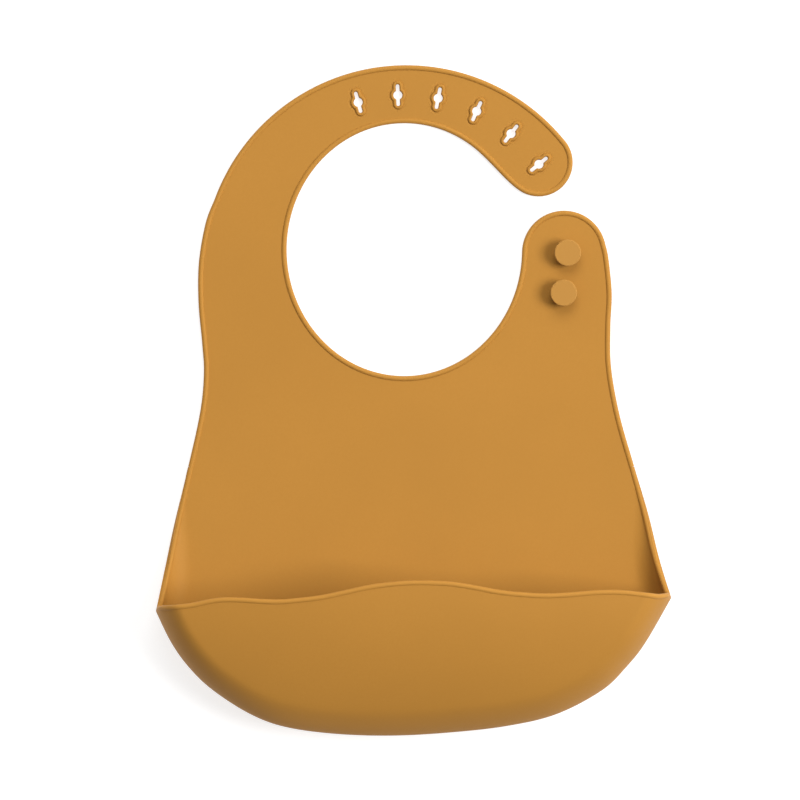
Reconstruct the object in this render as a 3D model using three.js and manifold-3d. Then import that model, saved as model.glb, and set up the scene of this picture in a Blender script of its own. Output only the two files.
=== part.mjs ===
// Silicone baby bib with a catch pocket, lying on its back. Units mm, +Y to the neck, +Z up, table at Z 0.
// One flexible moulding, divided into sections where it bends, and two push-through studs.
import * as THREE from "three";
import { mergeVertices } from "three/addons/utils/BufferGeometryUtils.js";
import Module from "manifold-3d";

const wasm = await Module();
wasm.setup();

// ---- driving dimensions ----
const SHEET = 1.8; // thickness of the moulded sheet
const BEAD_R = 1.2; // radius of the round bead along every edge
const BEAD_Z = 1.15; // height of its centre where the edge lies flat
const GAP = 0.3; // clearance left between neighbouring sections
const BEND_R = 14; // outer radius of the curl from the floor up to the foot edge
const ROUND_WIDE = 12; // width of the rounding of the front all along the foot edge
const ROUND_RISE = 9; // how far the front rises over it in the middle of the foot
const FRONT_SLOPE = 0.62; // slope of the front just above the foot
const FRONT_RUN = 70; // it eases off to level over this length
const FRONT_CROWN = 5; // drop of the front 100 mm to either side of the middle
const FOOT_WIDE = 15; // width of the front that belongs to the U-bend
const CURL_RUN = 62; // length of side edge over which the sheet curls up beside the pocket
const WALL_RUN = 54; // the part of it that is the side wall; the rest is nearly flat
const FOLD_Y = -12; // crosswise fold between the lower and upper panel
const FOOT_Y = -150; // where the front starts to climb, at the foot edge
const TAB_FOLD_Y = 38; // root of the button tab
const STRAP_CUTS = [175, 130, 99.9, 54.9]; // bend lines of the strap, degrees round the neck

const NECK = { x: -4.1, y: 67.6, a: 52.7, b: 56.6 }; // neck opening, an ellipse
const COLLAR = { x: -3.2, y: 58.8, r: 91.5 }; // outer edge of the strap
const TIP = { x: 56.1, y: 106.7, r: 15.3 }; // rounded end of the strap
const TAB = { x: 67.5, y: 66.2, r: 18.9 }; // rounded end of the button tab

const SLOT_COUNT = 6;
const SLOT_RADIUS = 69.2; // distance of the first slot from the neck centre
const SLOT_DRIFT = 0.09; // the later slots sit a little further out, by the square of their number
const SLOT_FIRST = 107.4; // degrees, slot nearest the shoulder
const SLOT_PITCH = 15; // degrees
const SLOT_TURN = 0.88; // share of the radial angle that a slot leans by
const SLOT_HOLE_R = 2;
const SLOT_ARM_R = 0.8;
const SLOT_LENGTH = 9.8;
const SLOT_RIM = 1.5; // width of the raised rim round a slot
const SLOT_RIM_TOP = 2.3;

const STUDS = { stud_upper: [69, 66], stud_lower: [67.2, 48.1] };
const STUD_CAP_R = 5.95;
const STUD_CAP_LOW = 5.4;
const STUD_CAP_TOP = 8.2;
const STUD_STEM_R = 2;
const STUD_FOOT_R = 4.4;
const STUD_FOOT = 0.5; // thickness of the foot, sunk in the back of the tab

// sketch points of the free-form edges
const RIGHT_CORNER = [115, -88];
const LEFT_CORNER = [-115, -94];
const RIGHT_SIDE = [
  RIGHT_CORNER, [110, -71], [105, -50], [98.5, -28], [92.3, -6],
  [88.6, 15], [88.3, 33], [88.9, 48], [87.4, 63.7],
];
const LEFT_SIDE = [
  [-93.2, 79.5], [-96.2, 62], [-96.4, 44], [-94.8, 26], [-94, 12],
  [-95.8, -6], [-101.8, -33], [-107, -54.5], [-111, -74], LEFT_CORNER,
];
const FOOT_EDGE = [
  LEFT_CORNER, [-108.2, -107.9], [-100.3, -119], [-89.8, -129.1], [-73.2, -139.8],
  [-57.3, -145.7], [-35, -148.8], [-10, -149.6], [15, -148.3], [41, -145.4],
  [63.5, -140.1], [84, -129.4], [95.3, -118.5], [103.6, -107.8], RIGHT_CORNER,
];
const RIM = [
  [-94.5, -92.5], [-84, -90.8], [-62, -91.5], [-40, -89.6], [-18, -84.9], [-2, -83.2],
  [16, -83.8], [37, -87.3], [59, -88.9], [81, -87.7], [95.5, -88.3],
];

// ---- small tools ----
const rad = THREE.MathUtils.degToRad;

function solid(geometry) {
  const bare = new THREE.BufferGeometry();
  bare.setAttribute("position", geometry.getAttribute("position"));
  if (geometry.index) bare.setIndex(geometry.index);
  const merged = mergeVertices(bare, 1e-4);
  const build = (tri) =>
    new wasm.Manifold(
      new wasm.Mesh({
        numProp: 3,
        vertProperties: new Float32Array(merged.attributes.position.array),
        triVerts: tri,
      }),
    );
  const tri = new Uint32Array(merged.index.array);
  const made = build(tri);
  return made.volume() < 0 ? build(tri.reverse()) : made;
}

function prism(shape, low, high, segments = 4) {
  const g = new THREE.ExtrudeGeometry(shape, {
    depth: high - low,
    bevelEnabled: false,
    curveSegments: segments,
  });
  return solid(g.translate(0, 0, low));
}

function polygon(points) {
  return new THREE.Shape(points.map((p) => new THREE.Vector2(p[0], p[1])));
}

// A round bead laid along 3-D points.
function bead(points, radius = BEAD_R, perStep = 1) {
  const path = new THREE.CatmullRomCurve3(
    points.map((p) => new THREE.Vector3(...p)),
    false,
    "centripetal",
  );
  const section = new THREE.Shape().absarc(0, 0, radius, Math.PI / 8, 2.125 * Math.PI);
  const g = new THREE.ExtrudeGeometry(section, {
    steps: Math.round((points.length - 1) * perStep),
    curveSegments: 4,
    bevelEnabled: false,
    extrudePath: path,
  });
  return solid(g);
}

// A thick curved sheet: place(u, v, w) gives the point for u, v in 0..1 and w in 0..1 through the thickness.
function bent(nu, nv, place) {
  const g = new THREE.BoxGeometry(1, 1, 1, nu, nv, 1);
  const pos = g.getAttribute("position");
  for (let i = 0; i < pos.count; i++) {
    const p = place(pos.getX(i) + 0.5, pos.getY(i) + 0.5, pos.getZ(i) + 0.5);
    pos.setXYZ(i, p[0], p[1], p[2]);
  }
  return solid(g);
}

function spline(points) {
  return new THREE.SplineCurve(points.map((p) => new THREE.Vector2(p[0], p[1])));
}

function sample(curve, count) {
  return curve.getSpacedPoints(count).map((p) => [p.x, p.y]);
}

function arc(c, from, to, count) {
  const rx = c.r ?? c.a;
  const ry = c.r ?? c.b;
  return Array.from({ length: count + 1 }, (_, i) => {
    const t = rad(from + ((to - from) * i) / count);
    return [c.x + rx * Math.cos(t), c.y + ry * Math.sin(t)];
  });
}

// Shifts an open run of points to its left by a distance.
function inset(points, distance) {
  return points.map((p, i) => {
    const a = points[Math.max(i - 1, 0)];
    const b = points[Math.min(i + 1, points.length - 1)];
    const l = Math.hypot(b[0] - a[0], b[1] - a[1]);
    return [p[0] - ((b[1] - a[1]) / l) * distance, p[1] + ((b[0] - a[0]) / l) * distance];
  });
}

// ---- the flat outline, counter-clockwise from the right pocket corner to the left one ----
const neckLeave = 52; // degrees, where the strap's inner edge leaves the neck ellipse
const innerBend = new THREE.CubicBezierCurve(
  new THREE.Vector2(...arc(NECK, neckLeave, neckLeave, 1)[0]),
  new THREE.Vector2(35.9, 105.7),
  new THREE.Vector2(42.4, 96.9),
  new THREE.Vector2(...arc(TIP, 240, 240, 1)[0]),
);
const outline = [
  ...sample(spline([...RIGHT_SIDE, arc(TAB, 12, 12, 1)[0]]), 34).slice(0, -1),
  ...arc(TAB, 12, 180, 16),
  ...arc(NECK, -5, neckLeave - 360, 72).slice(0, -1),
  ...sample(innerBend, 7).slice(0, -1),
  ...arc(TIP, 240, 398.9, 14).slice(0, -1),
  ...arc(COLLAR, 38.9, 160, 36).slice(0, -1),
  ...sample(spline([arc(COLLAR, 160, 160, 1)[0], ...LEFT_SIDE]), 40),
];
const beadLine = inset(outline, BEAD_R);

function slotShape(grow) {
  const hole = SLOT_HOLE_R + grow;
  const arm = SLOT_ARM_R + grow;
  const end = SLOT_LENGTH / 2 - SLOT_ARM_R;
  const side = Math.acos(arm / hole);
  const s = new THREE.Shape();
  s.absarc(0, -end, arm, Math.PI, 2 * Math.PI);
  s.absarc(0, 0, hole, -side, side);
  s.absarc(0, end, arm, 0, Math.PI);
  s.absarc(0, 0, hole, Math.PI - side, Math.PI + side);
  return s;
}

let flat = prism(polygon([...beadLine]), 0, SHEET).add(
  bead(beadLine.map((p) => [p[0], p[1], BEAD_Z])),
);
for (let k = 0; k < SLOT_COUNT; k++) {
  const angle = SLOT_FIRST - k * SLOT_PITCH;
  const lean = -SLOT_TURN * (90 - angle);
  const away = SLOT_RADIUS + SLOT_DRIFT * k * k;
  const at = [NECK.x + away * Math.cos(rad(angle)), NECK.y + away * Math.sin(rad(angle)), 0];
  const rim = prism(slotShape(SLOT_RIM), 0, SLOT_RIM_TOP, 3);
  const hole = prism(slotShape(0), -1, SHEET + 2, 3);
  flat = flat.add(rim.rotate([0, 0, lean]).translate(at));
  flat = flat.subtract(hole.rotate([0, 0, lean]).translate(at));
}
for (const at of Object.values(STUDS)) {
  const through = new THREE.CylinderGeometry(STUD_STEM_R + GAP, STUD_STEM_R + GAP, 6, 24);
  const sink = new THREE.CylinderGeometry(STUD_FOOT_R + GAP, STUD_FOOT_R + GAP, 1.6, 32);
  for (const g of [through, sink])
    flat = flat.subtract(solid(g.rotateX(Math.PI / 2).translate(at[0], at[1], 0)));
}

// ---- cutters ----
const FAR = 400;

function box(x0, x1, y0, y1) {
  return prism(polygon([[x0, y0], [x1, y0], [x1, y1], [x0, y1]]), -5, 20);
}

// The wedge of the collar between two bend lines round the neck centre, half a gap inside each.
function wedge(from, to) {
  const half = GAP / 2;
  const f = rad(from);
  const t = rad(to);
  const mid = (f + t) / 2;
  const back = half / Math.sin((f - t) / 2);
  const apex = [NECK.x + back * Math.cos(mid), NECK.y + back * Math.sin(mid)];
  const ray = (a) => [apex[0] + FAR * Math.cos(a), apex[1] + FAR * Math.sin(a)];
  return prism(polygon([apex, ray(t), ray(mid), ray(f)]), -5, 20);
}

const upperRoom = box(-FAR, FAR, FOLD_Y + GAP / 2, FAR);
const STRAP_END = 8; // degrees, past the tip
const COLLAR_SPLIT_Y = 88.2; // between the strap's tip and the tab
const strapAll = wedge(STRAP_CUTS[0], STRAP_END);
const tabRoom = box(20, FAR, TAB_FOLD_Y - GAP / 2, COLLAR_SPLIT_Y);
const strapOwn = strapAll.subtract(box(20, FAR, -FAR, COLLAR_SPLIT_Y));
const aboveShoulder = prism(
  polygon([
    [NECK.x, NECK.y - GAP],
    [NECK.x + FAR, NECK.y - GAP],
    [NECK.x + FAR, FAR],
    [-FAR, FAR],
    [
      NECK.x + FAR * Math.cos(rad(STRAP_CUTS[0])),
      NECK.y + FAR * Math.sin(rad(STRAP_CUTS[0])) - GAP,
    ],
  ]),
  -5,
  20,
);

const pieces = {};
pieces.chest_panel_upper = flat
  .intersect(upperRoom)
  .subtract(aboveShoulder)
  .subtract(tabRoom);
pieces.button_tab = flat.intersect(box(20, FAR, TAB_FOLD_Y + GAP / 2, COLLAR_SPLIT_Y));
const strapNames = ["strap_shoulder", "strap_side", "strap_holes", "strap_tip"];
const cuts = [...STRAP_CUTS, STRAP_END];
strapNames.forEach((name, i) => {
  pieces[name] = flat.intersect(strapOwn).intersect(wedge(cuts[i], cuts[i + 1]));
});

// ---- studs ----
function studSolid() {
  const r = STUD_CAP_R;
  const top = STUD_CAP_TOP;
  const profile = [
    [0, 0.1], [STUD_FOOT_R, 0.1], [STUD_FOOT_R, 0.1 + STUD_FOOT],
    [STUD_STEM_R, 0.1 + STUD_FOOT], [STUD_STEM_R, STUD_CAP_LOW],
    [r - 0.7, STUD_CAP_LOW], [r - 0.15, STUD_CAP_LOW + 0.35], [r, STUD_CAP_LOW + 0.9],
    [r - 0.25, top - 0.4], [r - 0.9, top - 0.05], [r - 1.6, top], [0, top],
  ];
  const g = new THREE.LatheGeometry(profile.map((p) => new THREE.Vector2(...p)), 32);
  return solid(g.rotateX(Math.PI / 2));
}
for (const [name, at] of Object.entries(STUDS))
  pieces[name] = studSolid().translate([at[0], at[1], 0]);

// ---- the pocket: a strip that curls up along the side edges and bends over in a U along the foot ----
const sideLeft = spline([arc(COLLAR, 160, 160, 1)[0], ...LEFT_SIDE]);
const sideRight = spline([...RIGHT_SIDE, arc(TAB, 12, 12, 1)[0]]);
const foot = spline(FOOT_EDGE);
const lengthLeft = sideLeft.getLength();
const lengthRight = sideRight.getLength();
const footLength = foot.getLength();

// Direction pointing into the bib, as an angle, along the foot edge; it is eased round the two corners.
const CORNER_TURN = 12;
function footAngle(u) {
  const t = foot.getTangentAt(THREE.MathUtils.clamp(u, 0.001, 0.999));
  const normal = THREE.MathUtils.radToDeg(Math.atan2(t.x, -t.y));
  const s = u * footLength;
  const e = Math.min(s, footLength - s) / 14;
  const ease = THREE.MathUtils.smoothstep(e, 0, 1);
  const corner = s < footLength / 2 ? CORNER_TURN : 180 - CORNER_TURN;
  return rad(corner + (normal - corner) * ease);
}

function footPoint(u) {
  const p = foot.getPointAt(THREE.MathUtils.clamp(u, 0, 1));
  const a = footAngle(u);
  return { x: p.x, y: p.y, nx: Math.cos(a), ny: Math.sin(a) };
}

// h is the distance above the corner along the side edge.
function sidePoint(left, h) {
  const u = left ? 1 - h / lengthLeft : h / lengthRight;
  const p = (left ? sideLeft : sideRight).getPointAt(u);
  const level = left ? 0 : 180;
  const lean = left ? CORNER_TURN : 180 - CORNER_TURN;
  const ease = THREE.MathUtils.smoothstep(h, 0, 26);
  const a = rad(lean + (level - lean) * ease);
  const curl = 90 * (1 - h / CURL_RUN) ** 1.2;
  return { x: p.x, y: p.y, nx: Math.cos(a), ny: Math.sin(a), curl: rad(curl) };
}

// Point on the strip: edge point e, reach of the curl, bend angle phi, depth w of the sheet from its outside.
function onStrip(e, reach, phi, w) {
  const r = BEND_R - w * SHEET;
  const d = reach - r * Math.sin(phi);
  return [e.x + e.nx * d, e.y + e.ny * d, BEND_R - r * Math.cos(phi)];
}

// Height of the front's outside at x, y, a distance d inside the foot edge.
function frontHeight(d, x, y) {
  const run = THREE.MathUtils.clamp(y - FOOT_Y, 0, FRONT_RUN);
  const climb = FRONT_SLOPE * (run - (run * run) / (2 * FRONT_RUN));
  const rise = ROUND_RISE + climb - FRONT_CROWN * (x / 100) ** 2;
  const back = 1 - Math.min(d / ROUND_WIDE, 1);
  return BEND_R + rise * Math.sqrt(1 - back * back);
}

// Point on the front: plan distance d from edge point e, depth w of the sheet from its outside.
function onFront(e, d, w) {
  const at = (q) => frontHeight(q, e.x + e.nx * q, e.y + e.ny * q);
  const slope = d < 0.02 ? 60 : (at(d + 0.01) - at(d - 0.01)) / 0.02;
  const l = Math.hypot(slope, 1);
  const inside = d + (w * SHEET * slope) / l;
  return [e.x + e.nx * inside, e.y + e.ny * inside, at(d) - (w * SHEET) / l];
}

const seam = GAP / 2;
const lowPhi = Math.asin(GAP / BEND_R);

function sideWall(left) {
  const wall = bent(20, 6, (u, v, w) => {
    const h = seam + (WALL_RUN - seam) * u;
    const e = sidePoint(left, h);
    return onStrip(e, BEND_R * Math.sin(e.curl), lowPhi + (e.curl - lowPhi) * v, w);
  });
  const line = [];
  for (let i = 0; i <= 20; i++) {
    const h = seam + 0.6 + (WALL_RUN - seam - 0.7) * (i / 20);
    const e = sidePoint(left, h);
    line.push(onStrip(e, BEND_R * Math.sin(e.curl), e.curl, BEAD_R / SHEET));
  }
  return wall.add(bead(line));
}
pieces.left_side_wall = sideWall(true);
pieces.right_side_wall = sideWall(false);

const FRONT_SEAM = 1.2; // gap in the CAD where the front wall meets the U-bend
const endU = seam / footLength;
const trough = bent(48, 12, (u, v, w) => {
  const e = footPoint(endU + (1 - 2 * endU) * u);
  if (v <= 0.5) return onStrip(e, BEND_R, lowPhi + (Math.PI / 2 - lowPhi) * 2 * v, w);
  return onFront(e, FOOT_WIDE * (2 * v - 1) ** 2, w);
});
const rimCurve = spline(RIM);
const rimPlan = sample(rimCurve, 40);
const aboveRim = prism(
  polygon([
    [-FAR, LEFT_CORNER[1] - 1.6], [LEFT_CORNER[0] + 1, LEFT_CORNER[1] - 1.6],
    ...rimPlan, [RIGHT_CORNER[0] - 1, RIGHT_CORNER[1] - 1.6],
    [FAR, RIGHT_CORNER[1] - 1.6], [FAR, FAR], [-FAR, FAR],
  ]),
  BEND_R,
  60,
);
// The rim bead runs on over the U-bend, from the end of the front wall down to the corner.
function cornerBead(corner, end) {
  const line = [];
  for (let i = 0; i <= 10; i++) {
    const k = 0.05 + 0.83 * (i / 10) ** 2;
    const x = corner[0] + (end[0] - corner[0]) * k;
    const y = corner[1] - 1.6 + (end[1] - corner[1] + 1.6) * k;
    line.push([x, y, frontHeight(FOOT_WIDE * 1.15 * (k - 0.045), x, y) - SHEET / 2]);
  }
  return bead(line);
}
pieces.pocket_trough = trough
  .subtract(aboveRim)
  .add(cornerBead(LEFT_CORNER, RIM[0]))
  .add(cornerBead(RIGHT_CORNER, RIM[RIM.length - 1]));

// Plan distance from the foot edge.
const footRuns = foot.getSpacedPoints(200);
function footDistance(x, y) {
  let best = Infinity;
  for (let i = 0; i < 200; i++) {
    const a = footRuns[i];
    const d = footRuns[i + 1].clone().sub(a);
    const t = THREE.MathUtils.clamp(((x - a.x) * d.x + (y - a.y) * d.y) / d.lengthSq(), 0, 1);
    best = Math.min(best, Math.hypot(x - a.x - t * d.x, y - a.y - t * d.y));
  }
  return best;
}

// Front wall: rules from the end of the U-bend up to the rim.
const footRun = [0.024, 0.976];
function frontPoint(u, v, w) {
  const e = footPoint(footRun[0] + (footRun[1] - footRun[0]) * u);
  const start = FOOT_WIDE + FRONT_SEAM;
  const low = [e.x + e.nx * start, e.y + e.ny * start];
  const r = rimCurve.getPoint(THREE.MathUtils.clamp(u, 0, 1));
  const x = low[0] + (r.x - low[0]) * v;
  const y = low[1] + (r.y - low[1]) * v;
  return [x, y, frontHeight(footDistance(x, y), x, y) - w * SHEET * 1.08];
}
const frontLine = [];
for (let i = 0; i <= 40; i++) frontLine.push(frontPoint(i / 40, 1, 0.5));
pieces.pocket_front_wall = bent(40, 5, frontPoint).add(bead(frontLine));

// Back panel of the pocket and lower chest.
const floorLine = [];
for (let i = 0; i <= 20; i++) {
  const e = sidePoint(true, WALL_RUN * (1 - i / 20));
  const d = BEND_R * Math.sin(e.curl);
  floorLine.push([e.x + e.nx * d, e.y + e.ny * d]);
}
for (let i = 1; i < 48; i++) {
  const e = footPoint(i / 48);
  floorLine.push([e.x + e.nx * BEND_R, e.y + e.ny * BEND_R]);
}
for (let i = 0; i <= 20; i++) {
  const e = sidePoint(false, (WALL_RUN * i) / 20);
  const d = BEND_R * Math.sin(e.curl);
  floorLine.push([e.x + e.nx * d, e.y + e.ny * d]);
}
function sideRun(left) {
  const run = [];
  for (let i = 0; i <= 10; i++) {
    const h = WALL_RUN + 3 * GAP + (48 * i) / 10;
    const u = left ? 1 - h / lengthLeft : h / lengthRight;
    const p = (left ? sideLeft : sideRight).getPointAt(u);
    const t = (left ? sideLeft : sideRight).getTangentAt(u);
    run.push([p.x - t.y * BEAD_R, p.y + t.x * BEAD_R]);
  }
  return run;
}
const runRight = sideRun(false);
const runLeft = sideRun(true);
const lower = prism(polygon([...floorLine, ...runRight, ...runLeft.reverse()]), 0, SHEET)
  .add(bead(runRight.map((p) => [p[0], p[1], BEAD_Z])))
  .add(bead(runLeft.map((p) => [p[0], p[1], BEAD_Z])));
pieces.chest_panel_lower = lower.intersect(box(-FAR, FAR, -FAR, FOLD_Y - GAP / 2));

// ---- meshes ----
const root = new THREE.Group();
root.name = "silicone_bib";
for (const [name, piece] of Object.entries(pieces)) {
  const m = piece.getMesh();
  const g = new THREE.BufferGeometry();
  g.setAttribute("position", new THREE.BufferAttribute(m.vertProperties, 3));
  g.setIndex(new THREE.BufferAttribute(m.triVerts, 1));
  g.computeVertexNormals();
  const stud = name.startsWith("stud");
  const skin = new THREE.MeshStandardMaterial({
    color: stud ? 0xcc964e : 0xc58d40,
    roughness: 0.6,
    metalness: 0,
  });
  const mesh = new THREE.Mesh(g, skin);
  mesh.name = name;
  root.add(mesh);
}

export default root;
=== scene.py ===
import bpy
import numpy as np
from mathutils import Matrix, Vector


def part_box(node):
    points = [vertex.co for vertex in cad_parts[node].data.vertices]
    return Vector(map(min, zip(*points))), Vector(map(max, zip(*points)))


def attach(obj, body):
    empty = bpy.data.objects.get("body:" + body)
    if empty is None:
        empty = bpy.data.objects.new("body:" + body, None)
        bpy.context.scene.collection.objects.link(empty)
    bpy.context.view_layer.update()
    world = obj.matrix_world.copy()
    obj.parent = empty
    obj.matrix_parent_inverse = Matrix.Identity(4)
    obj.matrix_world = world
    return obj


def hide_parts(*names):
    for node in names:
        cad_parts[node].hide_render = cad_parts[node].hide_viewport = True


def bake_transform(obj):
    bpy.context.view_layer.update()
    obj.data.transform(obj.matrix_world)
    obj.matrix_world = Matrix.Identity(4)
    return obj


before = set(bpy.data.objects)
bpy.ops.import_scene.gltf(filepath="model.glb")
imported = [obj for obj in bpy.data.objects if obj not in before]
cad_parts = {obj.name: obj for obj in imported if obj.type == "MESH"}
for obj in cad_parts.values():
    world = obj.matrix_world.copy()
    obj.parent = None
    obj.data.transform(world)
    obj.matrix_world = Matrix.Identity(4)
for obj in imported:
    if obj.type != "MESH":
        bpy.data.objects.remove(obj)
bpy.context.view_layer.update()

# ---------------------------------------------------------------------------
# Silicone: one mustard compound for the whole moulding and its studs. Matte from a
# fine blasted mould, a touch dusty, with a painted highlight: a little lighter on the edge bead.
# ---------------------------------------------------------------------------


def silicone(name, body, highlight_tone, dark):
    """Matte silicone: broad faint clouding between two tones (partly painted shade), a painted
    highlight tone where the attribute 'bead' is 1, a fine blasted grain as bump and in the roughness."""
    mat = bpy.data.materials.new(name)
    mat.use_nodes = True
    nodes, links = mat.node_tree.nodes, mat.node_tree.links
    shader = nodes["Principled BSDF"]
    shader.inputs["IOR"].default_value = 1.41
    shader.inputs["Specular IOR Level"].default_value = 0.15
    shader.inputs["Sheen Weight"].default_value = 0.03
    shader.inputs["Sheen Roughness"].default_value = 0.5
    shader.inputs["Sheen Tint"].default_value = (1.0, 0.86, 0.66, 1.0)
    place = nodes.new("ShaderNodeTexCoord")

    def noise(scale, detail, rough=0.5):
        n = nodes.new("ShaderNodeTexNoise")
        n.inputs["Scale"].default_value = scale
        n.inputs["Detail"].default_value = detail
        n.inputs["Roughness"].default_value = rough
        links.new(place.outputs["Object"], n.inputs["Vector"])
        return n

    def ramp(source, low, high, a, b):
        r = nodes.new("ShaderNodeMapRange")
        r.inputs["From Min"].default_value = low
        r.inputs["From Max"].default_value = high
        r.inputs["To Min"].default_value = a
        r.inputs["To Max"].default_value = b
        links.new(source, r.inputs["Value"])
        return r

    def mix(factor, a, b):
        m = nodes.new("ShaderNodeMix")
        m.data_type = "RGBA"
        links.new(factor, m.inputs["Factor"])
        for socket, value in ((m.inputs[6], a), (m.inputs[7], b)):
            if isinstance(value, tuple):
                socket.default_value = (*value, 1.0)
            else:
                links.new(value, socket)
        return m.outputs[2]

    # Broad clouding up to 6 % darker: partly uneven tone of the silicone, partly painted shade of
    # faint waves in the sheet.
    clouding_and_wave_shade = ramp(noise(14.0, 3.0).outputs["Fac"], 0.3, 0.7, 0.0, 1.0)
    grain = noise(2600.0, 2.0, 0.6)
    speck = ramp(noise(900.0, 1.0).outputs["Fac"], 0.25, 0.75, 0.0, 0.35)
    tone = mix(clouding_and_wave_shade.outputs["Result"], body, tuple(0.94 * c for c in body))
    tone = mix(speck.outputs["Result"], tone, dark)
    # Painted highlight: a slightly lighter tone wherever the attribute 'bead' is 1, on the raised edge
    # bead.
    bead = nodes.new("ShaderNodeAttribute")
    bead.attribute_name = "bead"
    tone = mix(bead.outputs["Fac"], tone, highlight_tone)
    links.new(tone, shader.inputs["Base Color"])
    shine = ramp(grain.outputs["Fac"], 0.3, 0.7, 0.52, 0.66)
    links.new(shine.outputs["Result"], shader.inputs["Roughness"])
    bump = nodes.new("ShaderNodeBump")
    bump.inputs["Strength"].default_value = 0.18
    bump.inputs["Distance"].default_value = 0.00012
    links.new(grain.outputs["Fac"], bump.inputs["Height"])
    links.new(bump.outputs["Normal"], shader.inputs["Normal"])
    return mat


MUSTARD = (0.444, 0.206, 0.035)
# Painted highlight tone of the raised edge bead.
MUSTARD_BEAD_HIGHLIGHT = (0.450, 0.209, 0.036)
MUSTARD_SPECK = (0.406, 0.184, 0.030)
mustard = silicone("mustard silicone", MUSTARD, MUSTARD_BEAD_HIGHLIGHT, MUSTARD_SPECK)

# ---------------------------------------------------------------------------
# Back panel and catch pocket: a 1.8 mm silicone sheet, moulded in one shot. The sheet
# curls up along both side edges, bends over in a U along the foot and comes back as the
# front wall, whose wavy rim carries the same round bead as the side edges.
# ---------------------------------------------------------------------------
MM = 0.001
SHEET = 1.8  # thickness of the silicone
BEAD = 1.25  # radius of the round edge bead
RIM_SINK = 0.85  # how far the rim bead's middle lies inside the outer face of the front wall
BEND = 14.0  # radius of the U-bend along the foot
ROUND_WIDE, ROUND_RISE = 12.0, 9.0  # rounding from the U-bend into the front wall
FRONT_SLOPE, FRONT_RUN, FRONT_CROWN = 0.62, 70.0, 5.0  # climb of the front wall to its rim
SPLIT_Y = -30.0  # where this object ends and the chest begins
CURL_RUN = 62.0  # length of side edge over which the sheet curls up
CORNER_TURN = 12.0  # degrees the side edge leans inwards at the pocket's corner
LEAN_RUN, EASE_RUN = 26, 14  # lengths of side edge and of foot over which that lean fades out

SIDE_LEFT = [(-89.2, 90.1), (-93.2, 79.5), (-96.2, 62), (-96.4, 44), (-94.8, 26), (-94, 12),
             (-95.8, -6), (-101.8, -33), (-107, -54.5), (-111, -74), (-115, -94)]
SIDE_RIGHT = [(115, -88), (110, -71), (105, -50), (98.5, -28), (92.3, -6), (88.6, 15),
              (88.3, 33), (88.9, 48), (87.4, 63.7), (85.99, 70.13)]
FOOT = [(-115, -94), (-108.2, -107.9), (-100.3, -119), (-89.8, -129.1), (-73.2, -139.8),
        (-57.3, -145.7), (-35, -148.8), (-10, -149.6), (15, -148.3), (41, -145.4),
        (63.5, -140.1), (84, -129.4), (95.3, -118.5), (103.6, -107.8), (115, -88)]
RIM = [(-115, -94), (-108, -93.2), (-98.9, -92.2), (-84, -89.6), (-62, -90.5), (-51, -89.8),
       (-40, -88.4), (-29, -86.0), (-18, -83.7), (-5, -82.2), (5, -82.0), (16, -82.5),
       (26, -84.0), (37, -86.1), (48, -87.3), (59, -87.8), (70, -87.3), (81, -86.4), (92, -86.4),
       (103, -87.6), (109, -88.4), (115, -88)]


def even(curve, n):
    """n + 1 stations on a polyline, evenly spaced by length."""
    s = np.r_[0.0, np.cumsum(np.linalg.norm(np.diff(curve, axis=0), axis=1))]
    q = np.linspace(0.0, s[-1], n + 1)
    return np.stack([np.interp(q, s, curve[:, k]) for k in range(curve.shape[1])], axis=1)


def through(points, n):
    """Smooth curve through the points: between two of them the cubic whose end slopes are half
    the chord of the neighbours on either side; n + 1 stations, evenly spaced."""
    p = np.asarray(points, float)
    a = np.vstack([p[:1], p, p[-1:]])
    t = np.linspace(0.0, 1.0, 40, endpoint=False)[None, :, None]
    p0, p1, p2, p3 = (a[i : len(a) - 3 + i][:, None] for i in range(4))
    v0, v1 = (p2 - p0) / 2, (p3 - p1) / 2
    c = (2 * p1 - 2 * p2 + v0 + v1) * t**3 + (-3 * p1 + 3 * p2 - 2 * v0 - v1) * t**2 + v0 * t + p1
    return even(np.vstack([c.reshape(-1, p.shape[1]), p[-1:]]), n)


def smoothstep(x):
    """0 below 0, 1 above 1, and 3x^2 - 2x^3 between."""
    x = np.clip(x, 0.0, 1.0)
    return x * x * (3 - 2 * x)


def unit(v):
    """Vectors divided by their lengths."""
    return v / np.maximum(np.linalg.norm(v, axis=-1, keepdims=True), 1e-12)


def closed(verts, quads):
    """Faces turned so that the shell's signed volume is positive and they point outwards."""
    a, b, c, d = (verts[quads[:, k]] for k in range(4))
    volume = (
        np.einsum("ij,ij->i", a, np.cross(b, c)) + np.einsum("ij,ij->i", a, np.cross(c, d))
    ).sum()
    return verts, quads if volume > 0 else quads[:, ::-1]


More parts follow.
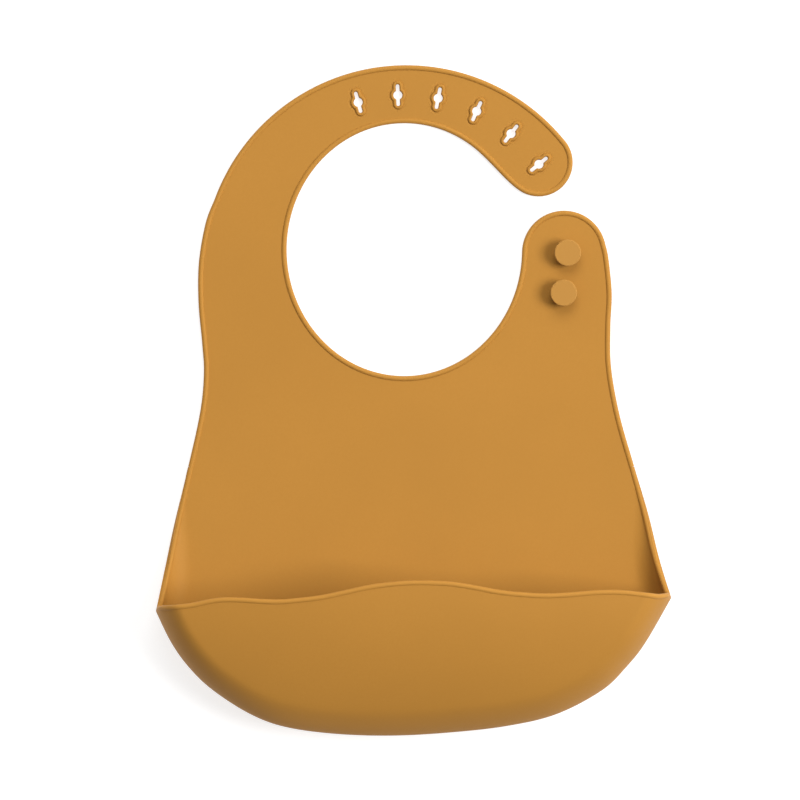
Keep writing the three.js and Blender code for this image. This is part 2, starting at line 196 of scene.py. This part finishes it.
def plate(grids):
    """Thick sheet from grids of x, y, z, thickness that touch along shared points: the grids are
    welded, each point is moved along its own normal (row step x column step) by its thickness
    to give the other face, and every free edge gets a strip between the two faces."""
    quads, points, start = [], [], 0
    for g in grids:
        n, m = g.shape[:2]
        at = start + np.arange(n * m).reshape(n, m)
        quads.append(np.stack([at[:-1, :-1], at[1:, :-1], at[1:, 1:], at[:-1, 1:]], -1).reshape(-1, 4))
        points.append(g.reshape(-1, 4))
        start += n * m
    points, quads = np.vstack(points), np.vstack(quads)
    spots = np.round(points[:, :3], 3)
    _, first, same = np.unique(spots, axis=0, return_index=True, return_inverse=True)
    points, quads = points[first], same.reshape(-1)[quads]
    v = points[:, :3]
    cross = np.cross(v[quads[:, 2]] - v[quads[:, 0]], v[quads[:, 3]] - v[quads[:, 1]])
    keep = np.linalg.norm(cross, axis=1) > 1e-9
    quads, cross = quads[keep], cross[keep]
    normal = np.zeros_like(v)
    for k in range(4):
        np.add.at(normal, quads[:, k], cross)
    other = v + unit(normal) * points[:, 3:]
    edges = np.vstack([quads[:, [k, (k + 1) % 4]] for k in range(4)])
    edges = edges[edges[:, 0] != edges[:, 1]]
    key = np.sort(edges, axis=1)
    _, back, count = np.unique(key, axis=0, return_inverse=True, return_counts=True)
    free = edges[count[back.reshape(-1)] == 1]
    n = len(v)
    walls = np.stack([free[:, 1], free[:, 0], free[:, 0] + n, free[:, 1] + n], axis=1)
    return closed(np.vstack([v, other]), np.vstack([quads, quads[:, ::-1] + n, walls]))


def hoops(path, normal, radius, sides=14):
    """Rings of a round bar: each is centre + radius (cos a normal + sin a (tangent x normal))."""
    t = unit(np.gradient(path, axis=0))
    n = unit(normal - np.sum(normal * t, axis=1, keepdims=True) * t)
    b = np.cross(t, n)
    a = np.linspace(0, 2 * np.pi, sides, endpoint=False)[None, :, None]
    return path[:, None] + radius * (np.cos(a) * n[:, None] + np.sin(a) * b[:, None])


def bar(rings):
    """Closed bar from its rings: side quads, and a fan to the middle point at either end."""
    n, m = rings.shape[:2]
    at = np.arange(n * m).reshape(n, m)
    turn = np.roll(at, -1, axis=1)
    quads = np.stack([at[:-1], at[1:], turn[1:], turn[:-1]], -1).reshape(-1, 4)
    mid = np.array([n * m, n * m + 1])
    front = np.stack([at[0], turn[0], np.full(m, mid[0]), np.full(m, mid[0])], -1)
    rear = np.stack([turn[-1], at[-1], np.full(m, mid[1]), np.full(m, mid[1])], -1)
    verts = np.vstack([rings.reshape(-1, 3), rings[0].mean(0), rings[-1].mean(0)])
    return closed(verts, np.vstack([quads, front, rear]))


def moulding(name, sheets, beads, material):
    """One object from closed sheets and closed bars in millimetres: corners that repeat in a
    face are dropped, faces are smooth, and edges sharper than 50 degrees stay sharp."""
    verts, faces, marks, start = [], [], [], 0
    for is_bead, parts in ((0.0, sheets), (1.0, beads)):
        for v, q in parts:
            verts.append(v * MM)
            faces.append(q + start)
            marks.append(np.full(len(v), is_bead))
            start += len(v)
    verts, faces = np.vstack(verts), np.vstack(faces)
    mesh = bpy.data.meshes.new(name)
    mesh.from_pydata(verts.tolist(), [], [list(dict.fromkeys(f)) for f in faces.tolist()])
    mesh.attributes.new("bead", "FLOAT", "POINT").data.foreach_set(
        "value", np.concatenate(marks).astype(np.float32)
    )
    mesh.polygons.foreach_set("use_smooth", np.ones(len(mesh.polygons), bool))
    mesh.set_sharp_from_angle(angle=np.radians(50))
    mesh.materials.append(material)
    piece = bpy.data.objects.new(name, mesh)
    bpy.context.scene.collection.objects.link(piece)
    return piece


def below(curve, y):
    """The part of a side edge from height y down to the pocket corner."""
    c = curve if curve[0, 1] > curve[-1, 1] else curve[::-1]
    k = np.argmax(c[:, 1] < y)
    f = (y - c[k - 1, 1]) / (c[k, 1] - c[k - 1, 1])
    return np.vstack([c[k - 1] + f * (c[k] - c[k - 1]), c[k:]])


def side_strip(curve, left, n=60):
    """Stations down a side edge: plan point, direction into the bib, curl angle."""
    e = even(below(curve, SPLIT_Y), n)
    step = np.linalg.norm(np.diff(e, axis=0), axis=1)
    h = np.r_[np.cumsum(step[::-1])[::-1], 0.0]
    lean = CORNER_TURN * (1 - smoothstep(h / LEAN_RUN))
    a = np.radians(lean if left else 180 - lean)
    curl = np.radians(90 * np.clip(1 - h / CURL_RUN, 0, 1) ** 1.2)
    return e, np.stack([np.cos(a), np.sin(a)], 1), curl


left_e, left_n, left_curl = side_strip(through(SIDE_LEFT, 800), True)
right_e, right_n, right_curl = (a[::-1] for a in side_strip(through(SIDE_RIGHT, 800), False))
foot_e = through(FOOT, 300)
run = np.gradient(foot_e, axis=0)
length = np.r_[0.0, np.cumsum(np.linalg.norm(np.diff(foot_e, axis=0), axis=1))]
ease = smoothstep(np.minimum(length, length[-1] - length) / EASE_RUN)
normal_angle = np.degrees(np.arctan2(run[:, 0], -run[:, 1]))
corner_angle = np.where(length < length[-1] / 2, CORNER_TURN, 180 - CORNER_TURN)
foot_a = np.radians(corner_angle + (normal_angle - corner_angle) * ease)
foot_n = np.stack([np.cos(foot_a), np.sin(foot_a)], 1)

edge = np.vstack([left_e[:-1], foot_e, right_e[1:]])
inward = np.vstack([left_n[:-1], foot_n, right_n[1:]])
curl = np.r_[left_curl[:-1], np.full(len(foot_e), np.pi / 2), right_curl[1:]]

phi = curl[:, None] * np.linspace(0, 1, 15)[None]
reach = BEND * (np.sin(curl)[:, None] - np.sin(phi))
curled = np.dstack([
    edge[:, None, 0] + inward[:, None, 0] * reach,
    edge[:, None, 1] + inward[:, None, 1] * reach,
    BEND * (1 - np.cos(phi)),
    np.full(phi.shape, SHEET),
])
floor_line = curled[:, 0]
span_x = np.interp(np.arange(len(edge)), [0, len(edge) - 1], floor_line[[0, -1], 0])
top_line = np.stack([span_x, np.full(len(edge), SPLIT_Y), 0 * span_x, 0 * span_x + SHEET], 1)
share = np.linspace(0, 1, 13)[None, :, None]
flat = top_line[:, None] * (1 - share) + floor_line[:, None] * share


def from_foot(p):
    """Plan distance of points from the foot edge, and the number of its nearest run."""
    a, b = foot_e[:-1], foot_e[1:]
    d = b - a
    t = np.clip(np.einsum("...j,kj->...k", p, d) - np.einsum("kj,kj->k", a, d), 0, np.sum(d * d, 1))
    near = a + (t / np.sum(d * d, 1))[..., None] * d
    gap = np.linalg.norm(p[..., None, :] - near, axis=-1)
    k = np.argmin(gap, axis=-1)
    return np.take_along_axis(gap, k[..., None], -1)[..., 0], k


def front_height(p, d):
    """Outside of the front wall at plan points p, a distance d from the foot edge: a quarter
    ellipse up from the U-bend, whose height grows towards the rim, steeply at first and then
    levelling off, and drops a little to either side."""
    run = np.clip(p[..., 1] + 150, 0, FRONT_RUN)
    climb = FRONT_SLOPE * (run - run**2 / (2 * FRONT_RUN))
    rise = ROUND_RISE + climb - FRONT_CROWN * (p[..., 0] / 100) ** 2
    back = 1 - np.minimum(d / ROUND_WIDE, 1)
    return BEND + rise * np.sqrt(1 - back * back)


# The free edge: down the left side, round the corner, along the rim, and up the right side.
side_out = np.column_stack([-inward * np.sin(curl)[:, None], -np.cos(curl)])
side_end = np.column_stack([edge, BEND * (1 - np.cos(curl))])
up_profile = np.column_stack([-inward * np.cos(curl)[:, None], np.sin(curl)])
side_bead = side_end - BEAD * side_out - BEAD * up_profile
rim = even(through(RIM, 900), 420)
rim_d, rim_k = from_foot(rim)
away = foot_n[np.clip(rim_k, 0, len(foot_n) - 1)]
rim_z = front_height(rim, rim_d)
rim_slope = (rim_z - front_height(rim - 0.2 * away, np.maximum(rim_d - 0.2, 0))) / 0.2
rim_out = unit(np.column_stack([-away * rim_slope[:, None], np.ones(len(rim_z))]))
rim_top = np.column_stack([rim, rim_z])
rim_up = np.cross(rim_out, unit(np.gradient(rim_top, axis=0)))
rim_bead = rim_top - RIM_SINK * rim_out + BEAD * unit(rim_up)
n_left, n_right = len(left_e), len(right_e)
free_edge = np.vstack([side_bead[:n_left], rim_bead[3:-3], side_bead[-n_right:]])
free_out = np.vstack([side_out[:n_left], rim_out[3:-3], side_out[-n_right:]])
for _ in range(2):
    free_edge[1:-1] = (free_edge[:-2] + 2 * free_edge[1:-1] + free_edge[2:]) / 4
    free_out[1:-1] = (free_out[:-2] + 2 * free_out[1:-1] + free_out[2:]) / 4

# The front wall ends in the middle of the rim's bead.
wall_end = (free_edge + RIM_SINK * unit(free_out))[n_left:-n_right]
corners = [[*foot_e[0], BEND], [*foot_e[-1], BEND]]
wall_end = np.vstack([corners[:1], wall_end, corners[1:]])
end_y, end_z = (np.interp(foot_e[:, 0], wall_end[:, 0], wall_end[:, k]) for k in (1, 2))
rows = np.linspace(0, 1, 36) ** 2
front_plan = np.dstack([
    np.repeat(foot_e[:, :1], len(rows), axis=1),
    foot_e[:, 1:] + (end_y - foot_e[:, 1])[:, None].clip(0) * rows[None],
])
front_d, _ = from_foot(front_plan)
front_d[:, 0] = 0.0
front_z = front_height(front_plan, front_d)
front_z += (end_z - front_z[:, -1])[:, None] * rows**3
front = np.dstack([front_plan, front_z, np.full(front_d.shape, SHEET)])
front[[0, -1], :, 2] = BEND

pocket = moulding(
    "pocket_and_back",
    [plate([flat[::-1], curled[::-1], front[::-1]])],
    [bar(hoops(free_edge, unit(free_out), BEAD))],
    mustard,
)
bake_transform(pocket)
co = np.empty(len(pocket.data.vertices) * 3, np.float32)
pocket.data.vertices.foreach_get("co", co)
co = co.reshape(-1, 3) / MM
lift = smoothstep((from_foot(co[:, :2])[0] - 8) / 58) * smoothstep((co[:, 2] - 17) / 8)
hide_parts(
    "chest_panel_lower", "left_side_wall", "right_side_wall", "pocket_trough", "pocket_front_wall",
)

# ---------------------------------------------------------------------------
# Chest and shoulders: the flat of the same moulding between the pocket and the collar, with
# the lower half of the neck opening. The edge bead is one line all round the collar, so its
# rings are worked out here once and each part of the collar takes its own length of them.
# ---------------------------------------------------------------------------
NECK = np.array([-4.1, 67.6])
NECK_HALF = np.array([52.7, 56.6])
TAB_AT, TAB_R = np.array([67.5, 66.2]), 18.9
TIP_AT, TIP_R = np.array([56.1, 106.7]), 15.3
COLLAR_AT, COLLAR_R = np.array([-3.2, 58.8]), 91.5


def arc(centre, radii, start, end, n=240):
    """Centre + radii (cos a, sin a) for a from start to end degrees."""
    a = np.radians(np.linspace(start, end, n + 1))
    return centre + radii * np.stack([np.cos(a), np.sin(a)], 1)


leave = arc(NECK, NECK_HALF, 52, 52, 1)[0]
land = arc(TIP_AT, TIP_R, 240, 240, 1)[0]
t = np.linspace(0, 1, 60)[:, None]
inner_bend = (
    (1 - t) ** 3 * leave + 3 * (1 - t) ** 2 * t * np.array([35.9, 105.7])
    + 3 * (1 - t) * t**2 * np.array([42.4, 96.9]) + t**3 * land
)
right_edge = through(SIDE_RIGHT, 900)
left_edge = through(SIDE_LEFT, 900)
outline = np.vstack([
    below(right_edge, SPLIT_Y)[:1], right_edge[right_edge[:, 1] > SPLIT_Y][:-1],
    arc(TAB_AT, TAB_R, 12, 180)[:-1],
    arc(NECK, NECK_HALF, -5, 52 - 360, 900)[:-1],
    inner_bend[:-1],
    arc(TIP_AT, TIP_R, 240, 398.9)[:-1],
    arc(COLLAR_AT, COLLAR_R, 38.9, 160, 400)[:-1],
    left_edge[left_edge[:, 1] > SPLIT_Y], below(left_edge, SPLIT_Y)[:1],
])
outline = even(outline, 1700)
side = unit(np.gradient(outline, axis=0))
line = outline + BEAD * np.stack([-side[:, 1], side[:, 0]], 1)
line[0] = side_bead[-1][:2]
line[-1] = side_bead[0][:2]
around = np.degrees(np.arctan2(line[:, 1] - NECK[1], line[:, 0] - NECK[0]))
index = np.arange(len(line))
top_of_tab = int(np.argmax(np.where(index < 700, line[:, 1], -1e9)))
neck_bottom = int(np.argmin(np.where((index > 250) & (index < 1200), line[:, 1], 1e9)))
tip_end = int(index[600:][np.argmin(np.abs(around[600:] - around[600:][around[600:] > 0].min()))])


def cut_at(lo, hi, value, target):
    """Index in lo..hi where value is closest to target; that point of the line is slid along it
    to where value is the target exactly, so that two pieces cut there meet without a gap."""
    k = lo + int(np.argmin(np.abs(value[lo:hi] - target)))
    near = np.arange(max(k - 1, 0), min(k + 2, len(line)))
    near = near[np.argsort(value[near])]
    line[k] = [np.interp(target, value[near], line[near, j]) for j in range(2)]
    return k


TAB_SPLIT = 25.0
tab_out = cut_at(0, top_of_tab, line[:, 1].copy(), TAB_SPLIT)
tab_in = cut_at(top_of_tab, neck_bottom, line[:, 1].copy(), TAB_SPLIT)
turn = np.mod(around, 360)
CUTS = [190.0, 152.0, 115.0, 84.9]
cut_in = [cut_at(neck_bottom, tip_end, turn, a) for a in CUTS]
cut_out = [cut_at(tip_end, len(line), turn, a) for a in CUTS]
turn = np.mod(np.degrees(np.arctan2(line[:, 1] - NECK[1], line[:, 0] - NECK[0])), 360)
bead_path = np.column_stack([line, np.full(len(line), BEAD)])
bead_rings = hoops(bead_path, np.tile([0.0, 0.0, 1.0], (len(line), 1)), BEAD)


def face_up(grid):
    """Flat grid with its rows in the order that makes row step x column step point up."""
    row, column = grid[1:, :-1] - grid[:-1, :-1], grid[:-1, 1:] - grid[:-1, :-1]
    area = np.sum(row[..., 0] * column[..., 1] - row[..., 1] * column[..., 0])
    return grid if area > 0 else grid[::-1]


def flat_grid(inner, outer, m):
    """Straight lines from inner to outer points, m steps each, at the height of the table."""
    s = np.linspace(0, 1, m + 1)[None, :, None]
    p = inner[:, None] * (1 - s) + outer[:, None] * s
    return np.dstack([p, np.zeros(p.shape[:2]), np.full(p.shape[:2], SHEET)])


neck_run = line[tab_in : cut_in[0] + 1]
right_run = line[: tab_out + 1][::-1]
left_run = line[cut_out[0] :][::-1]
outer_run = np.vstack([
    even(right_run, 60)[:-1],
    even(np.array([line[0], line[-1]]), 120)[:-1],
    even(left_run, 80),
])
weights = np.r_[0.0, np.cumsum(np.r_[np.full(60, 0.45), np.full(120, 1.15), np.full(80, 0.75)])]
s_in = np.r_[0.0, np.cumsum(np.linalg.norm(np.diff(neck_run, axis=0), axis=1))]
q = weights / weights[-1] * s_in[-1]
inner_run = np.stack([np.interp(q, s_in, neck_run[:, k]) for k in range(2)], 1)
chest = moulding(
    "chest_and_shoulders",
    [plate([face_up(flat_grid(inner_run, outer_run, 28))])],
    [
        bar(bead_rings[: tab_out + 1]),
        bar(bead_rings[tab_in : cut_in[0] + 1]),
        bar(bead_rings[cut_out[0] :]),
    ],
    mustard,
)
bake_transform(chest)
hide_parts("chest_panel_upper")

# ---------------------------------------------------------------------------
# Button tab: the short end of the collar, rounded, with the bead round it. It carries two
# mushroom studs of the same silicone, pushed through from the back: flat cap, thin stem, foot.
# ---------------------------------------------------------------------------
tab_left = line[top_of_tab : tab_in + 1][::-1]
tab_right = line[tab_out : top_of_tab + 1]
climb = np.sin(np.linspace(0, np.pi / 2, 60))
tab_y = line[tab_out, 1] + (line[top_of_tab, 1] - line[tab_out, 1]) * climb
tab_web = flat_grid(
    np.stack([np.interp(tab_y, tab_left[:, 1], tab_left[:, 0]), tab_y], 1),
    np.stack([np.interp(tab_y, tab_right[:, 1], tab_right[:, 0]), tab_y], 1),
    24,
)
tab_bead = bar(bead_rings[tab_out : tab_in + 1])
tab = moulding("tab_sheet", [plate([face_up(tab_web)])], [tab_bead], mustard)
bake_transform(tab)
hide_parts("button_tab")

# STUD_EDGE_HIGHLIGHT is a painted highlight tone; the studs have no bead, so it never shows.
STUD, STUD_EDGE_HIGHLIGHT, STUD_SPECK = (0.453, 0.221, 0.047), (0.472, 0.230, 0.050), (0.424, 0.203, 0.040)
CAP_LOW, CAP_SOFT = 5.4, 0.42  # underside of a cap over the table, radius of its rim
stud_silicone = silicone("stud silicone", STUD, STUD_EDGE_HIGHLIGHT, STUD_SPECK)


def turned(profile, at, n=72):
    """Round solid: radius and height of the profile carried round the axis through at."""
    p = np.asarray(profile, float)
    a = np.linspace(0, 2 * np.pi, n, endpoint=False)
    rings = np.dstack([
        at[0] + p[:, :1] * np.cos(a), at[1] + p[:, :1] * np.sin(a), np.repeat(p[:, 1:], n, axis=1),
    ])
    return bar(rings)


def rounded(r, low, high, soft):
    """Edge of a cap: quarter rounds of radius soft at its lower and upper rim."""
    a = np.linspace(-np.pi / 2, 0, 7)
    lower = np.stack([r - soft + soft * np.cos(a), low + soft + soft * np.sin(a)], 1)
    upper = np.stack([r - soft + soft * np.cos(a[::-1]), high - soft - soft * np.sin(a[::-1])], 1)
    return np.vstack([lower, upper])


for stud in ("stud_upper", "stud_lower"):
    lo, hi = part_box(stud)
    at = ((lo[0] + hi[0]) / 2 / MM, (lo[1] + hi[1]) / 2 / MM)
    r, top = (hi[0] - lo[0]) / 2 / MM, hi[2] / MM
    stem = [
        [0.02, -0.15], [4.2, -0.15], [4.4, 0.0], [4.4, 0.6],
        [2.5, 1.2], [2.1, 1.9], [2.0, 4.8], [2.5, CAP_LOW],
    ]
    cap = rounded(r, CAP_LOW, top, CAP_SOFT)
    profile = np.vstack([stem, cap, [[r - 0.6, top], [r - 0.9, top], [0.02, top]]])
    piece = moulding(stud + "_moulded", [turned(profile, at)], [], stud_silicone)
    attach(piece, "button_tab")
    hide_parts(stud)

# ---------------------------------------------------------------------------
# Neck strap: the long end of the collar, bent over the shoulder and round to a rounded tip.
# Six keyhole slots, a round hole with an arm to either side, each with a raised rim all round.
# It is built as four lengths.
# ---------------------------------------------------------------------------
SLOT_R, SLOT_DRIFT, SLOT_FIRST, SLOT_PITCH, SLOT_TURN = 69.2, 0.09, 107.4, 15.0, 0.88
HOLE_R, ARM_R, ARM_END = 2.0, 0.8, 4.1
# Section of the raised rim round a slot: distance out from the hole, and height over the sheet.
RIM_STEPS = np.array([0.0, 0.12, 0.35, 0.75, 1.1, 1.32, 1.5, 1.62, 1.8])
RIM_HEIGHT = np.array([0.25, 0.52, 0.74, 0.82, 0.70, 0.42, 0.05, -0.06, 0.0])
AROUND, ACROSS = 24, 24


def slot_line(grow, n):
    """Keyhole outline grown by a margin, n points evenly spaced from the outer arm's end: at each
    angle the farther of the round hole and the arm, whose ends are half circles."""
    a = np.linspace(0, 2 * np.pi, 1441)
    b, c = ARM_R + grow, ARM_END
    s, k = np.abs(np.sin(a)), np.abs(np.cos(a))
    side_r = b / np.maximum(s, 1e-9)
    end_r = c * k + np.sqrt(np.maximum(b * b - (c * s) ** 2, 0))
    arm = np.where(side_r * k <= c, side_r, end_r)
    r = np.maximum(arm, HOLE_R + grow)
    return even(np.stack([r * np.sin(a), r * np.cos(a)], 1), n)[:-1]


inner_side = slice(neck_bottom, tip_end + 1)
outer_side = slice(tip_end, len(line))
radius = np.linalg.norm(line - NECK, axis=1)


def across(angles, m):
    """Lines across the strap at the given angles round the neck centre, from bead to bead."""
    order = np.argsort(turn[inner_side])
    r_in = np.interp(angles, turn[inner_side][order], radius[inner_side][order])
    order = np.argsort(turn[outer_side])
    r_out = np.interp(angles, turn[outer_side][order], radius[outer_side][order])
    a = np.radians(angles)[:, None]
    ray = np.hstack([np.cos(a), np.sin(a)])
    return flat_grid(NECK + ray * r_in[:, None], NECK + ray * r_out[:, None], m)


def slot_cell(k):
    """One pitch of the strap with its slot: rings grown from the slot's outline, then straight
    lines out to the cell's own edge, point for point."""
    mid = SLOT_FIRST - k * SLOT_PITCH
    cell = across(np.linspace(mid + SLOT_PITCH / 2, mid - SLOT_PITCH / 2, AROUND + 1), ACROSS)
    loop = np.concatenate([cell[:-1, -1], cell[-1, :0:-1], cell[:0:-1, 0], cell[0, :-1]])[:, :2]
    loop = np.roll(loop, -(AROUND // 2), axis=0)
    n = len(loop)
    lean = np.radians(-SLOT_TURN * (90 - mid))
    spin = np.array([[np.cos(lean), -np.sin(lean)], [np.sin(lean), np.cos(lean)]])
    bearing = np.radians(mid)
    centre = NECK + (SLOT_R + SLOT_DRIFT * k * k) * np.array([np.cos(bearing), np.sin(bearing)])
    inner = np.stack([slot_line(g, n) for g in RIM_STEPS]) @ spin.T + centre
    share = np.linspace(0, 1, 9)[1:, None, None]
    outer = inner[-1][None] * (1 - share) + loop[None] * share
    rings = np.concatenate([inner, outer])
    thick = SHEET + np.r_[RIM_HEIGHT, np.zeros(8)]
    rings = np.concatenate([rings, rings[:, :1]], axis=1)
    return np.dstack([rings, np.zeros(rings.shape[:2]), np.repeat(thick[:, None], n + 1, axis=1)])


low_end = turn[tip_end] + 0.02
tip_fan = low_end + (24.9 - low_end) * (1 - np.sin(np.linspace(0, np.pi / 2, 24)))
# Each length: angles of its plain part, its slots, the fan of its tip, the bodies on either side
# of its bend, the bend's angle round the neck, and half the length over which it bends.
lengths = [
    ("strap_over_shoulder", np.linspace(190, 152, 49), [], None,
     "upper_panel", "strap_shoulder", 175.0, 12.0),
    ("strap_upper_side", np.linspace(152, 115, 49), [], None,
     "strap_shoulder", "strap_side", 130.0, 12.0),
    ("strap_first_slots", np.linspace(115, 114.9, 2), [0, 1], None,
     "strap_side", "strap_holes", 99.9, 11.0),
    ("strap_last_slots", np.linspace(84.9, 84.9, 1), [2, 3, 4, 5], tip_fan,
     "strap_holes", "strap_tip", 54.9, 10.0),
]
for i, (name, plain, slots, fan, a, b, bend, zone) in enumerate(lengths):
    sheets = [across(plain, ACROSS)] if len(plain) > 1 else []
    sheets += [slot_cell(k) for k in slots]
    if fan is None:
        beads = [
            bar(bead_rings[cut_in[i] : cut_in[i + 1] + 1]),
            bar(bead_rings[cut_out[i + 1] : cut_out[i] + 1]),
        ]
    else:
        sheets.append(across(fan, ACROSS))
        beads = [bar(bead_rings[cut_in[i] : cut_out[i] + 1])]
    piece = moulding(name, [plate([face_up(g) for g in sheets])], beads, mustard)
    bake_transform(piece)
    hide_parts(["strap_shoulder", "strap_side", "strap_holes", "strap_tip"][i])

# ---------------------------------------------------------------------------
# Studio: a plain pale table that glows a little, a large soft key light from the right, a
# softer one from behind the neck, a white room that is brighter on the neck's side (+y) than on
# the foot's, and a long-lens camera straight above the bib. Sizes in metres.
# ---------------------------------------------------------------------------
TABLE_HALF, TABLE_DROP = 6, 0.0002
TABLE_GREY, TABLE_GLOW = 0.4, 0.75
ROOM_FOOT, ROOM_NECK = 0.02, 0.72  # strength of the room's light from either side
CAMERA_HEIGHT, VIEW_WIDTH, SENSOR_MM = 3.0, 0.3587, 36

floor_mesh = bpy.data.meshes.new("table")
w = TABLE_HALF
floor_mesh.from_pydata([(-w, -w, 0), (w, -w, 0), (w, w, 0), (-w, w, 0)], [], [(0, 1, 2, 3)])
floor = bpy.data.objects.new("table", floor_mesh)
floor.location.z = -TABLE_DROP
bpy.context.scene.collection.objects.link(floor)
pale = bpy.data.materials.new("pale table")
pale.use_nodes = True
pale_inputs = pale.node_tree.nodes["Principled BSDF"].inputs
pale_inputs["Base Color"].default_value = (TABLE_GREY, TABLE_GREY, TABLE_GREY, 1)
pale_inputs["Roughness"].default_value = 0.8
pale_inputs["Emission Color"].default_value = (1, 1, 1, 1)
pale_inputs["Emission Strength"].default_value = TABLE_GLOW
floor.data.materials.append(pale)


def soft_light(name, place, target, size, power):
    """Square area light that faces its target."""
    data = bpy.data.lights.new(name, "AREA")
    data.shape, data.size, data.energy = "SQUARE", size, power
    lamp = bpy.data.objects.new(name, data)
    aim = Vector(target) - Vector(place)
    lamp.rotation_euler = aim.to_track_quat("-Z", "Y").to_euler()
    lamp.location = place
    bpy.context.scene.collection.objects.link(lamp)


soft_light("key", (2.0, 0.10, 2.1), (0, 0, 0), 1.3, 81)
soft_light("behind the neck", (0.1, 1.5, 1.75), (0, 0, 0), 1.4, 23)
world = bpy.data.worlds.new("studio")
world.use_nodes = True
world_nodes, world_links = world.node_tree.nodes, world.node_tree.links
world_nodes["Background"].inputs["Color"].default_value = (1, 1, 1, 1)
towards = world_nodes.new("ShaderNodeTexCoord")
split = world_nodes.new("ShaderNodeSeparateXYZ")
level = world_nodes.new("ShaderNodeMapRange")
world_links.new(towards.outputs["Generated"], split.inputs["Vector"])
world_links.new(split.outputs["Y"], level.inputs["Value"])
level.inputs["From Min"].default_value = -1.0
level.inputs["To Min"].default_value = ROOM_FOOT
level.inputs["To Max"].default_value = ROOM_NECK
world_links.new(level.outputs["Result"], world_nodes["Background"].inputs["Strength"])
bpy.context.scene.world = world
bpy.context.scene.view_settings.view_transform = "Standard"

camera = bpy.data.objects.new("camera", bpy.data.cameras.new("camera"))
camera.data.lens = SENSOR_MM * CAMERA_HEIGHT / VIEW_WIDTH
camera.data.clip_end = 20
camera.location = (-0.00605, 0.0002, CAMERA_HEIGHT)
bpy.context.scene.collection.objects.link(camera)
bpy.context.scene.camera = camera
